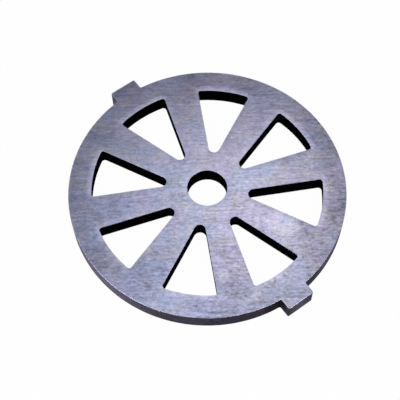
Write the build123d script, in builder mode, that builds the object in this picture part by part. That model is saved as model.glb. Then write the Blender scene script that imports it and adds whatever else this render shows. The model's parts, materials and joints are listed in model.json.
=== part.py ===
from build123d import *
import os

# End plate of a small meat grinder, one flat steel casting with ground faces.
# Meat leaves through eight wedge-shaped windows round a bore, which carries the pin of the
# feed screw. Two lugs on the rim sit in slots of the housing and stop the plate turning.
# The bore's axis is Z, the plate rests on Z = 0, and the lugs point along X.
# Sizes are in millimetres and degrees.

disc_diameter = 54.0
plate_thickness = 3.8
bore_diameter = 7.7
hub_width = 4.2  # from the bore out to the windows
rim_width = 4.5  # from the windows out to the edge of the disc
window_count = 8
window_angle = 35.6  # between the two straight sides of a window
window_tip_radius = 1.1  # round end of a window, next to the hub
window_corner_radius = 0.5  # the two corners of a window next to the rim
window_draft = 2.0  # lean of the window walls, which open out towards the lower face
lug_width = 5.7
lug_reach = 2.25  # how far a lug stands out of the disc
lug_corner_radius = 0.3  # at the ends of the lugs and where they leave the disc
edge_break = 0.1  # chamfer round the outline and round the bore, on both faces

disc_radius = disc_diameter / 2
bore_radius = bore_diameter / 2
half_window_angle = window_angle / 2
window_outer_radius = disc_radius - rim_width
window_tip_centre = bore_radius + hub_width + window_tip_radius
across_lugs = disc_diameter + 2 * lug_reach

# One window, on the X axis. Its sides leave the round tip as tangents and
# run out to an arc that shares its centre with the disc.
with BuildSketch() as window:
    with BuildLine():
        outer_end = CenterArc((0, 0), window_outer_radius, -half_window_angle, window_angle, mode=Mode.PRIVATE)
        tip = CenterArc((window_tip_centre, 0), window_tip_radius, 90 + half_window_angle, 180 - window_angle)
        upper_side = IntersectingLine(tip @ 0, -(tip % 0), outer_end)
        lower_side = IntersectingLine(tip @ 1, tip % 1, outer_end)
        ThreePointArc(upper_side @ 1, (window_outer_radius, 0), lower_side @ 1)
    make_face()
    fillet(window.vertices().sort_by(Axis.X)[-2:], window_corner_radius)

with BuildPart() as plate:
    # The disc and a bar across it, whose ends are the lugs.
    with BuildSketch():
        Circle(disc_radius)
        Rectangle(across_lugs, lug_width)
    extrude(amount=plate_thickness)
    fillet(plate.edges().filter_by(Axis.Z), lug_corner_radius)
    chamfer(plate.faces().filter_by(Axis.Z).edges(), edge_break)

    Hole(bore_radius)
    chamfer(plate.edges(Select.LAST).filter_by(GeomType.CIRCLE), edge_break)

    # The windows have their true outline on the upper face, and keep sharp edges there,
    # because the knife cuts against them.
    with BuildSketch(Plane.XY.offset(plate_thickness)):
        with PolarLocations(0, window_count):
            add(window.sketch)
    extrude(amount=-plate_thickness, taper=-window_draft, mode=Mode.SUBTRACT)

plate.part.label = "plate"

os.makedirs("parts", exist_ok=True)
export_step(plate.part, "parts/plate.step")
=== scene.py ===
import json
import math

import bmesh
import bpy
from mathutils import Matrix, Vector, noise


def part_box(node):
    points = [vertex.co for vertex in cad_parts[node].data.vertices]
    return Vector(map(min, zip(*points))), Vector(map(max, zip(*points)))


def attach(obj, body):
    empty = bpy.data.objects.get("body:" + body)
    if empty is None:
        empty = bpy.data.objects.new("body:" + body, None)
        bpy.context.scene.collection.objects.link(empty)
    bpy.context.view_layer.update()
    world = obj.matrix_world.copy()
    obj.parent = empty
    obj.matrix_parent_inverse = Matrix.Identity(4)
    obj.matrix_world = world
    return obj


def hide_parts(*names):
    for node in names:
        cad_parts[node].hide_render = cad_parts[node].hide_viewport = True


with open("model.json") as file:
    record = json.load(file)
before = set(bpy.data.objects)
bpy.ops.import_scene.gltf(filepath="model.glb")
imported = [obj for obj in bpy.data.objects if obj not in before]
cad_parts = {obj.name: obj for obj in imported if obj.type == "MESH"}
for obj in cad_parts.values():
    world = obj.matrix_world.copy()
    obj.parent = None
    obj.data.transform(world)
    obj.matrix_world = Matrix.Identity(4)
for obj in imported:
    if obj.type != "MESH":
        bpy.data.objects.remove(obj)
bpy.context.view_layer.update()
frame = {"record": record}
mm = 0.001
up = Vector((0, 0, 1))
patchCore = 0.2  # a patch has its full strength within this share of its radius


class Value:  # a socket that carries a number; arithmetic on it adds Math nodes
    def __init__(self, net, socket):
        self.net = net
        self.socket = socket

    def math(self, operation, first, second):
        settings = {"operation": operation}
        return self.net.node("ShaderNodeMath", settings, {0: first, 1: second})

    def __add__(self, other):
        return self.math("ADD", self, other)

    def __radd__(self, other):
        return self.math("ADD", other, self)

    def __sub__(self, other):
        return self.math("SUBTRACT", self, other)

    def __rsub__(self, other):
        return self.math("SUBTRACT", other, self)

    def __mul__(self, other):
        return self.math("MULTIPLY", self, other)

    def __rmul__(self, other):
        return self.math("MULTIPLY", other, self)

    def atLeast(self, floor):
        return self.math("MAXIMUM", self, floor)

    def rise(self, low, high):  # 0 below low, 1 above high, smooth between
        settings = {"interpolation_type": "SMOOTHSTEP"}
        return self.net.node("ShaderNodeMapRange", settings, {0: self, 1: low, 2: high})


class Net:  # one material's nodes
    def __init__(self, name):
        self.material = bpy.data.materials.new(name)
        self.material.use_nodes = True
        self.tree = self.material.node_tree
        self.tree.nodes.clear()

    def node(self, kind, settings, sockets, output=0):
        made = self.tree.nodes.new(kind)
        for key, value in settings.items():
            setattr(made, key, value)
        for key, value in sockets.items():
            if isinstance(value, Value):
                self.tree.links.new(value.socket, made.inputs[key])
            else:
                made.inputs[key].default_value = value
        return Value(self, made.outputs[output]) if made.outputs else None

    def place(self):  # millimetres in the part's own frame
        spot = self.node("ShaderNodeTexCoord", {}, {}, "Object")
        return self.stretch(spot, (1 / mm, 1 / mm, 1 / mm))

    def stretch(self, vector, factors):
        return self.node("ShaderNodeVectorMath", {"operation": "MULTIPLY"}, {0: vector, 1: factors})

    def turn(self, vector, degrees):
        return self.node("ShaderNodeVectorRotate", {"rotation_type": "Z_AXIS"},
                         {"Vector": vector, "Angle": math.radians(degrees)})

    def noise(self, place, layer):  # about 0.5, give or take 0.2
        spot = self.stretch(place, layer["cells"])
        return self.node("ShaderNodeTexNoise", {}, {
            "Vector": spot, "Scale": 1.0, "Detail": layer["detail"], "Roughness": layer["rough"]})

    def blend(self, factor, first, second):
        return self.node("ShaderNodeMix", {"data_type": "RGBA"}, {0: factor, 6: first, 7: second}, 2)

    def scaled(self, colour, factor):
        return self.node("ShaderNodeVectorMath", {"operation": "SCALE"}, {0: colour, "Scale": factor})

    # round patches of colour: stains in some places, painted highlight and painted shade in others
    def paintedPatches(self, place, height, wobble, patches):
        total = 0.0
        for patch in patches:
            radius = patch["radius"]
            points = {0: place, 1: Vector((*patch["at"], height / mm))}
            away = self.node("ShaderNodeVectorMath", {"operation": "DISTANCE"}, points, "Value")
            reach = away + wobble * radius
            inside = 1.0 - reach.rise(patchCore * radius, radius)
            total = total + inside * patch["gain"]
        return total

    def carried(self, name):  # a number stored at the mesh's vertices
        return self.node("ShaderNodeAttribute", {"attribute_name": name}, {}, "Fac")

    def bump(self, height, depth):
        return self.node("ShaderNodeBump", {}, {"Height": height, "Distance": depth})

    def surface(self, sockets):
        shader = self.node("ShaderNodeBsdfPrincipled", {}, sockets)
        self.node("ShaderNodeOutputMaterial", {}, {"Surface": shader})
        return self.material


def linear(red, green, blue):  # a colour on the 0 to 255 scale as Blender's linear one
    channels = [value / 255 for value in (red, green, blue)]
    curve = [c / 12.92 if c <= 0.04045 else ((c + 0.055) / 1.055) ** 2.4 for c in channels]
    return (*curve, 1.0)


# A noise layer has so many cells to the millimetre, along the grain, across it and upwards.
groundSteel = {
    "cool": linear(182, 189, 216),
    "warm": linear(193, 188, 217),
    "pale": linear(194, 192, 210),
    "blue": linear(182, 189, 230),
    "grainAngle": 54.8,  # the grinding runs this way, in degrees from X
    "fine": {"cells": (1.1, 2.1, 1.0), "detail": 2.0, "rough": 0.6, "gain": 1.05},
    "long": {"cells": (0.3, 2.1, 1.0), "detail": 1.0, "rough": 0.5, "gain": 0.68},
    "blotch": {"cells": (0.55, 0.9, 0.5), "detail": 2.0, "rough": 0.5, "gain": 0.55},
    "broad": {"cells": (0.2, 0.2, 0.3), "detail": 2.0, "rough": 0.5, "gain": 0.4},
    "speck": {"cells": (2.0, 2.0, 2.0), "detail": 1.0, "rough": 0.6},
    "brightSpeck": {"span": (0.62, 0.72), "gain": 0.18},
    "darkSpeck": {"span": (0.28, 0.38), "gain": 0.2},
    "hue": {"cells": (0.13, 0.2, 0.2), "detail": 1.0, "rough": 0.5, "span": (0.35, 0.65)},  # cool to warm
    "veil": {"cells": (0.35, 0.5, 0.4), "detail": 0.0, "rough": 0.5, "span": (0.35, 0.75)},  # to pale
    "coarser": 0.013,  # the grinding is coarser towards the front lug, by this share for each mm
    "roughness": 0.26,
    "roughnessSpread": 0.05,
    "grainHeight": {"fine": 0.6, "long": 0.4},
    "grainDepth": 0.000004,
    "rubbedRoughness": 0.32,  # edges are scuffed matt, and their colour is lifted as a painted highlight
    "rubbedAndSheenGain": 0.25,
    "patches": [  # paler and darker places on the upper face, partly stains and partly painted light: a painted highlight on the lower-right spoke and painted shade where the light falls off; place and radius in mm, and how strong
        {"at": (14.5, 7.5), "radius": 4.5, "gain": 0.3},
        {"at": (15.5, -20.5), "radius": 6.0, "gain": 0.24},
        {"at": (26.5, 0.0), "radius": 6.0, "gain": 0.15},
        {"at": (18.0, 17.5), "radius": 5.0, "gain": -0.24},
        {"at": (7.0, 24.0), "radius": 6.5, "gain": -0.12},
        {"at": (20.5, -7.5), "radius": 4.5, "gain": -0.14},
        {"at": (7.5, -19.5), "radius": 4.5, "gain": -0.14},
        {"at": (-28.5, -1.0), "radius": 6.0, "gain": -0.24},
        {"at": (-21.5, 11.5), "radius": 4.5, "gain": -0.1},
        {"at": (-14.5, 21.0), "radius": 4.0, "gain": -0.1},
        {"at": (-3.5, 8.5), "radius": 3.5, "gain": -0.12},
        {"at": (-18.5, -18.5), "radius": 4.5, "gain": -0.1},
        {"at": (2.5, -6.5), "radius": 3.0, "gain": -0.08},
        {"at": (0.0, -23.5), "radius": 4.5, "gain": -0.16},
        {"at": (12.0, -5.5), "radius": 3.5, "gain": -0.16},
        {"at": (1.5, 25.5), "radius": 5.0, "gain": -0.14},
        {"at": (18.5, 10.5), "radius": 3.5, "gain": -0.14},
        {"at": (20.5, -18.0), "radius": 3.0, "gain": 0.15},
        {"at": (-22.5, -10.5), "radius": 5.0, "gain": -0.15},
        {"at": (5.0, 18.0), "radius": 3.5, "gain": -0.13},
        {"at": (12.0, -19.0), "radius": 2.5, "gain": -0.12},
        {"at": (8.0, -24.5), "radius": 3.5, "gain": 0.12},
    ],
    "bluePatches": [  # places coloured bluer
        {"at": (19.5, -16.5), "radius": 8.0, "gain": 0.3},
        {"at": (9.5, -21.5), "radius": 8.0, "gain": 0.28},
        {"at": (-7.0, -18.0), "radius": 5.5, "gain": 0.3},
        {"at": (-9.0, 21.0), "radius": 5.5, "gain": 0.4},
        {"at": (2.5, 22.0), "radius": 5.5, "gain": 0.45},
        {"at": (2.0, 10.5), "radius": 4.5, "gain": 0.4},
    ],
}


def makeGroundSteel(look):
    net = Net("groundSteel")
    place = net.place()
    along = net.turn(place, -look["grainAngle"])
    fine = net.noise(along, look["fine"])
    long = net.noise(along, look["long"])
    blotch = net.noise(along, look["blotch"])
    broad = net.noise(place, look["broad"])
    speck = net.noise(place, look["speck"])
    hue = net.noise(along, look["hue"])
    veil = net.noise(along, look["veil"])
    rubbedAndSheen = net.carried("rubbedAndSheen")
    tint = net.blend(hue.rise(*look["hue"]["span"]), look["cool"], look["warm"])
    tint = net.blend(veil.rise(*look["veil"]["span"]), tint, look["pale"])
    bluer = net.paintedPatches(place, plate["thickness"], broad - 0.5, look["bluePatches"])
    tint = net.blend(bluer, tint, look["blue"])
    texture = (fine - 0.5) * look["fine"]["gain"] + (long - 0.5) * look["long"]["gain"]
    texture = texture + (blotch - 0.5) * look["blotch"]["gain"] + (broad - 0.5) * look["broad"]["gain"]
    texture = texture + speck.rise(*look["brightSpeck"]["span"]) * look["brightSpeck"]["gain"]
    texture = texture - (1.0 - speck.rise(*look["darkSpeck"]["span"])) * look["darkSpeck"]["gain"]
    coarseness = 1.0 + net.node("ShaderNodeSeparateXYZ", {}, {"Vector": place}, "X") * look["coarser"]
    # the rubbed edge strips are painted paler: a painted edge highlight
    shade = 1.0 + texture * coarseness + rubbedAndSheen * look["rubbedAndSheenGain"]
    # stains mixed with a painted highlight and painted shade
    shade = shade + net.paintedPatches(place, plate["thickness"], broad - 0.5, look["patches"])
    spread = look["roughnessSpread"]
    rough = look["roughness"] + (blotch - 0.5) * spread + (long - 0.5) * spread
    rough = rough + rubbedAndSheen * (look["rubbedRoughness"] - look["roughness"])
    height = fine * look["grainHeight"]["fine"] + long * look["grainHeight"]["long"]
    return net.surface({
        "Base Color": net.scaled(tint, shade), "Metallic": 1.0, "Roughness": rough,
        "Normal": net.bump(height, look["grainDepth"])})


wallGrain = {  # mill scale and pits, which both kinds of wall share
    "scale": {"cells": (1.6, 1.6, 0.9), "detail": 3.0, "rough": 0.6, "gain": 1.2},
    "pits": {"cells": (5.0, 5.0, 5.0), "detail": 2.0, "rough": 0.5, "gain": 0.5},
    "level": 0.78,  # share of the wall's colour, on average
    "darkest": 0.03,
    "roughnessSpread": 0.2,
    "height": {"scale": 0.6, "pits": 0.4},
    "depth": 0.00003,
}

cutWall = {
    # near black: dark scale on the cut faces, darkened further as painted shade inside the windows
    "colour": linear(7, 5, 7),
    "roughness": 0.8,
    "gloss": 0.0,
    "patches": [],
}

rimWall = {
    "colour": linear(81, 75, 91),
    "roughness": 0.6,
    "gloss": 0.02,
    "patches": [  # painted shade in and beside the corners of the front lug, and places painted paler
        {"at": (26.8, -3.4), "radius": 4.0, "gain": -0.8},
        {"at": (25.0, -10.0), "radius": 9.0, "gain": -0.35},
        {"at": (26.3, 4.5), "radius": 4.0, "gain": -0.45},
        {"at": (29.2, -1.0), "radius": 3.0, "gain": 0.5},
        {"at": (-28.3, -2.9), "radius": 3.0, "gain": 0.9},
        {"at": (0.0, -27.0), "radius": 18.0, "gain": 1.6},
    ],
}


def makeWall(name, look, grain):
    net = Net(name)
    place = net.place()
    scale = net.noise(place, grain["scale"])
    pits = net.noise(place, grain["pits"])
    shade = grain["level"] + (scale - 0.5) * grain["scale"]["gain"] + (pits - 0.5) * grain["pits"]["gain"]
    # on the rim these patches paint shade beside the front lug and paler places elsewhere
    shade = shade + net.paintedPatches(place, plate["thickness"] / 2, scale - 0.5, look["patches"])
    shade = shade.atLeast(grain["darkest"])
    rough = look["roughness"] + (scale - 0.5) * grain["roughnessSpread"]
    height = scale * grain["height"]["scale"] + pits * grain["height"]["pits"]
    return net.surface({
        "Base Color": net.scaled(look["colour"][:3], shade), "Metallic": 0.0, "Roughness": rough,
        "Specular IOR Level": look["gloss"],
        "Normal": net.bump(height, grain["depth"])})


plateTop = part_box("plate")[1]  # the node's highest corner
bore = next(m for m in frame["record"]["mounts"] if m["name"] == "bore")

plate = {  # lengths in metres, angles in radians, slopes as tangents
    "discRadius": plateTop[1],
    "lugEnd": plateTop[0],
    "thickness": plateTop[2],
    "boreRadius": bore["dims"]["r_mm"] * mm,
    "hubWidth": 4.2 * mm,  # from the bore out to the windows
    "rimWidth": 4.5 * mm,  # from the windows out to the edge of the disc
    "windowCount": 8,
    "windowAngle": math.radians(35.6),
    "windowTipRadius": 1.1 * mm,
    "windowCornerRadius": 0.5 * mm,
    "windowLean": math.tan(math.radians(2)),  # the window walls open out towards the lower face
    "lugWidth": 5.7 * mm,
    "lugCornerRadius": 0.3 * mm,
    "rimBreak": 0.1 * mm,  # rounding of the edges of the outline and the bore
    "windowBreak": 0.015 * mm,
    "roundingTilts": (math.radians(35), math.radians(65)),  # from the first one on, the wall's finish
    "rimBand": 0.18 * mm,  # strip along the outline that handling has rubbed matt and that carries a painted highlight
    "rimWearAndSheen": 1.5,  # against 1 along the windows
    "windowBand": 1.2 * mm,  # the same strip along the windows and the bore
    "bandDrop": math.tan(math.radians(1.0)),  # the strips fall off towards the edge
    "bandTilt": math.radians(2.5),  # and are shaded with this tilt at the edge
    "unevenShare": 0.5,  # how much the rounding varies round the outline
    "unevenLength": 2.5 * mm,  # and over what length
    "points": {  # how many points each curve of the outlines has
        "bore": 97, "windowTip": 9, "windowCorner": 6, "windowSide": 24, "windowArc": 15,
        "lugEnd": 6, "lugCorner": 6, "lugSide": 5, "discQuarter": 90,
    },
}

finishes = {
    "ground": makeGroundSteel(groundSteel),
    "cut": makeWall("cutWall", cutWall, wallGrain),
    "rim": makeWall("rimWall", rimWall, wallGrain),
}
slotOrder = ["ground", "cut", "rim"]
print("finishes made")


def direction(angle):
    return Vector((math.cos(angle), math.sin(angle)))


def arc(centre, radius, start, end, count, inward=False):
    # points on an arc, each with the direction that points away from the steel
    points = []
    for step in range(count):
        out = direction(start + (end - start) * step / (count - 1))
        points.append((centre + radius * out, -out if inward else out))
    return points


def run(start, end, outward, count):  # points inside a straight side, its ends left out
    return [(start.lerp(end, step / count), outward) for step in range(1, count)]


def mirrored(points):  # the same points on the other side of X, in reverse
    return [(Vector((p.x, -p.y)), Vector((n.x, -n.y))) for p, n in reversed(points)]


def boreOutline(size):
    full = arc(Vector((0, 0)), size["boreRadius"], 0, 2 * math.pi, size["points"]["bore"], inward=True)
    return full[:-1]


def windowOutline(size, turn):
    half = size["windowAngle"] / 2
    tipRadius = size["windowTipRadius"]
    corner = size["windowCornerRadius"]
    count = size["points"]
    outer = size["discRadius"] - size["rimWidth"]
    tipCentre = Vector((size["boreRadius"] + size["hubWidth"] + tipRadius, 0))
    along = direction(half)
    across = direction(half + math.pi / 2)
    sideOffset = tipCentre.dot(across) + tipRadius
    reach = math.sqrt((outer - corner) ** 2 - (sideOffset - corner) ** 2)
    cornerCentre = along * reach + across * (sideOffset - corner)
    cornerAngle = math.atan2(cornerCentre.y, cornerCentre.x)
    tip = arc(tipCentre, tipRadius, math.pi, half + math.pi / 2, count["windowTip"], inward=True)
    bend = arc(cornerCentre, corner, half + math.pi / 2, cornerAngle, count["windowCorner"], inward=True)
    side = run(tip[-1][0], bend[0][0], -across, count["windowSide"])
    end = arc(Vector((0, 0)), outer, cornerAngle, 0, count["windowArc"], inward=True)
    upper = tip + side + bend + end[1:]
    whole = upper + mirrored(upper)[1:-1]
    spin = Matrix.Rotation(turn, 2)
    return [(spin @ p, spin @ n) for p, n in whole]


def rimOutline(size):
    radius = size["discRadius"]
    corner = size["lugCornerRadius"]
    half = size["lugWidth"] / 2
    count = size["points"]
    rootCentre = Vector((math.sqrt((radius + corner) ** 2 - (half + corner) ** 2), half + corner))
    rootAngle = math.atan2(rootCentre.y, rootCentre.x)
    tipCentre = Vector((size["lugEnd"] - corner, half - corner))
    tip = arc(tipCentre, corner, 0, math.pi / 2, count["lugCorner"])
    root = arc(rootCentre, corner, 1.5 * math.pi, math.pi + rootAngle, count["lugCorner"], inward=True)
    side = run(tip[-1][0], root[0][0], Vector((0, 1)), count["lugSide"])
    disc = arc(Vector((0, 0)), radius, rootAngle, math.pi / 2, count["discQuarter"])
    face = run(Vector((size["lugEnd"], 0)), tip[0][0], Vector((1, 0)), count["lugEnd"])
    quarter = [(Vector((size["lugEnd"], 0)), Vector((1, 0)))] + face + tip + side + root + disc[1:]
    back = [(Vector((-p.x, p.y)), Vector((-n.x, n.y))) for p, n in reversed(quarter)]
    upper = quarter + back[1:]
    return upper + mirrored(upper)[1:-1]


def edgeProfile(size, edge, band, wearAndSheen):
    # (height, distance in from the wall, how rubbed and how much painted highlight, tilt from level) from
    # the lower face to the upper
    drop = band * size["bandDrop"]
    lower = [(0.0, edge + band, 0.0, 0.0)]
    for tilt in (size["bandTilt"], *size["roundingTilts"], math.pi / 2):
        curve = edge * (1 - math.cos(tilt))
        lower.append((drop + curve, edge * (1 - math.sin(tilt)), wearAndSheen, tilt))
    upper = [(size["thickness"] - z, inset, rubbedAndSheen, tilt) for z, inset, rubbedAndSheen, tilt in reversed(lower)]
    return lower + upper


def buildPlate(size):
    shape = bmesh.new()
    rub = shape.verts.layers.float.new("rubbedAndSheen")
    outlines = [(rimOutline(size), size["rimBreak"], size["rimBand"], size["rimWearAndSheen"], "rim", 0.0)]
    outlines.append((boreOutline(size), size["rimBreak"], size["windowBand"], 1.0, "cut", 0.0))
    for number in range(size["windowCount"]):
        points = windowOutline(size, 2 * math.pi * number / size["windowCount"])
        outlines.append((points, size["windowBreak"], size["windowBand"], 1.0, "cut", size["windowLean"]))
    caps = {"lower": [], "upper": []}
    normals = []
    for points, edge, band, wearAndSheen, wall, lean in outlines:
        profile = edgeProfile(size, edge, band, wearAndSheen)
        rings = []
        for z, inset, rubbedAndSheen, tilt in profile:
            ring = []
            side = up if z > size["thickness"] / 2 else -up
            for p, out in points:
                spotInGrain = Vector((p.x, p.y, z)) / size["unevenLength"]
                uneven = 1 + size["unevenShare"] * noise.noise(spotInGrain)
                depth = inset * uneven if inset <= edge else inset  # the strip's inner line stays even
                depth = depth + (size["thickness"] - z) * lean
                spot = p - out * depth
                vertex = shape.verts.new((spot.x, spot.y, z))
                vertex[rub] = rubbedAndSheen
                ring.append(vertex)
                normals.append(math.cos(tilt) * side + math.sin(tilt) * out.to_3d())
            rings.append(ring)
        for level in range(len(rings) - 1):
            gentler = min(profile[level][3], profile[level + 1][3])
            finish = wall if gentler >= size["roundingTilts"][0] else "ground"
            for here in range(len(points)):
                there = (here + 1) % len(points)
                corners = [rings[level][here], rings[level][there],
                           rings[level + 1][there], rings[level + 1][here]]
                face = shape.faces.new(corners)
                face.material_index = slotOrder.index(finish)
        for name, ring in (("lower", rings[0]), ("upper", rings[-1])):
            for here, vertex in enumerate(ring):
                caps[name].append(shape.edges.get((vertex, ring[(here + 1) % len(ring)])))
    for edges in caps.values():
        bmesh.ops.triangle_fill(shape, use_beauty=True, edges=edges, normal=up)
    bmesh.ops.recalc_face_normals(shape, faces=shape.faces)
    mesh = bpy.data.meshes.new("steelPlate")
    shape.to_mesh(mesh)
    shape.free()
    mesh.polygons.foreach_set("use_smooth", [True] * len(mesh.polygons))
    mesh.normals_split_custom_set_from_vertices(normals)
    for name in slotOrder:
        mesh.materials.append(finishes[name])
    piece = bpy.data.objects.new("steelPlate", mesh)
    bpy.context.collection.objects.link(piece)
    return piece


steelPlate = buildPlate(plate)
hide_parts("plate")
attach(steelPlate, "root")
print("plate built:", len(steelPlate.data.polygons), "faces")


backdrop = {
    "flat": 1.2,  # radius of the level floor, in metres
    "rise": 0.9,  # height of the wall round it
    "bend": 0.6,  # radius of the curve between them
    "bendSteps": 12,
    "sides": 96,
    "below": 0.02 * mm,  # just under the plate's lower face
    "colour": (0.82, 0.82, 0.82, 1.0),
    "glow": 1.0,
    "glowShare": 0.98,  # the rest keeps the shadow
}


def makeBackdrop(size):
    profile = [(size["flat"] / 2, 0.0)]
    for step in range(size["bendSteps"] + 1):
        angle = math.pi / 2 * step / size["bendSteps"]
        radius = size["flat"] + size["bend"] * math.sin(angle)
        profile.append((radius, size["bend"] * (1 - math.cos(angle))))
    profile.append((size["flat"] + size["bend"], size["rise"]))
    sides = size["sides"]
    verts = []
    for radius, z in profile:
        for side in range(sides):
            spot = direction(2 * math.pi * side / sides) * radius
            verts.append((spot.x, spot.y, z - size["below"]))
    verts.append((0, 0, -size["below"]))
    faces = []
    for level in range(len(profile) - 1):
        for side in range(sides):
            here = level * sides + side
            there = level * sides + (side + 1) % sides
            faces.append((here, there, there + sides, here + sides))
    for side in range(sides):
        faces.append((len(verts) - 1, side, (side + 1) % sides))
    mesh = bpy.data.meshes.new("backdrop")
    mesh.from_pydata(verts, [], faces)
    mesh.polygons.foreach_set("use_smooth", [True] * len(mesh.polygons))
    net = Net("paleBackdrop")
    rays = net.node("ShaderNodeLightPath", {}, {}, "Is Camera Ray")
    for kind in ("Is Glossy Ray", "Is Transmission Ray"):
        rays = rays + net.node("ShaderNodeLightPath", {}, {}, kind)
    plain = net.node("ShaderNodeBsdfDiffuse", {}, {"Color": size["colour"]})
    glow = net.node("ShaderNodeEmission", {}, {"Color": (1, 1, 1, 1), "Strength": size["glow"]})
    seen = net.node("ShaderNodeMixShader", {}, {0: size["glowShare"], 1: plain, 2: glow})
    mixed = net.node("ShaderNodeMixShader", {}, {0: rays, 1: plain, 2: seen})
    net.node("ShaderNodeOutputMaterial", {}, {"Surface": mixed})
    mesh.materials.append(net.material)
    piece = bpy.data.objects.new("backdrop", mesh)
    bpy.context.collection.objects.link(piece)
    return piece


makeBackdrop(backdrop)
print("backdrop made")


skyColour = (0.148, 0.14, 0.168, 1.0)

lamps = {
    # angles in degrees, distance and side in metres, and the brightness, where 1 is white
    "wideCard": {"azimuth": 143.9, "elevation": 67.2, "distance": 0.2525, "side": 0.1057,
                 "white": 0.715, "colour": (0.84, 0.92, 1.0)},
    "smallCard": {"azimuth": 135.1, "elevation": 63.4, "distance": 0.393, "side": 0.0733,
                  "white": 1.02, "colour": (1.0, 0.886, 0.724)},
    "keyLeft": {"azimuth": -95.0, "elevation": 52.0, "distance": 0.55, "side": 0.36,
                "white": 3.0, "colour": (1.0, 1.0, 1.0)},
    "keyRight": {"azimuth": 15.0, "elevation": 50.0, "distance": 0.55, "side": 0.36,
                 "white": 3.0, "colour": (1.0, 1.0, 1.0)},
}


def sphere(azimuth, elevation, distance):  # a point seen from the origin in that direction, in degrees
    flat = direction(math.radians(azimuth)) * math.cos(math.radians(elevation))
    return Vector((flat.x, flat.y, math.sin(math.radians(elevation)))) * distance


def addLamp(name, setting):
    light = bpy.data.lights.new(name, "AREA")
    light.size = setting["side"]
    light.color = setting["colour"]
    light.energy = setting["white"] * math.pi * setting["side"] ** 2
    lamp = bpy.data.objects.new(name, light)
    spot = sphere(setting["azimuth"], setting["elevation"], setting["distance"])
    lamp.location = spot + up * plate["thickness"]
    lamp.rotation_euler = spot.to_track_quat("Z", "Y").to_euler()
    lamp.visible_camera = False
    bpy.context.collection.objects.link(lamp)


for name, setting in lamps.items():
    addLamp(name, setting)

world = bpy.data.worlds.new("sky")
world.use_nodes = True
world.node_tree.nodes["Background"].inputs["Color"].default_value = skyColour
bpy.context.scene.world = world
print("lamps set")


view = {
    "azimuth": -35.01,  # where the camera stands, in degrees from X
    "elevation": 62.55,
    "distance": 201.9 * mm,
    "roll": -1.34,
    "aim": Vector((1.32 * mm, -2.69 * mm)),  # the point of the upper face in the middle of the view
    "lens": 94.09,
    "sensorWidth": 36,
    "clipStart": 10 * mm,
}


def addCamera(setting):
    data = bpy.data.cameras.new("camera")
    data.lens = setting["lens"]
    data.sensor_width = setting["sensorWidth"]
    data.clip_start = setting["clipStart"]
    camera = bpy.data.objects.new("camera", data)
    back = sphere(setting["azimuth"], setting["elevation"], 1.0)
    right = up.cross(back).normalized()
    above = back.cross(right)
    roll = math.radians(setting["roll"])
    tilted = math.cos(roll) * right + math.sin(roll) * above
    upright = math.cos(roll) * above - math.sin(roll) * right
    turn = Matrix((tilted, upright, back)).transposed().to_4x4()
    aim = Vector((*setting["aim"], plate["thickness"]))
    camera.matrix_world = Matrix.Translation(aim + back * setting["distance"]) @ turn
    bpy.context.collection.objects.link(camera)
    bpy.context.scene.camera = camera


addCamera(view)
bpy.context.scene.view_settings.view_transform = "Standard"
print("camera set")
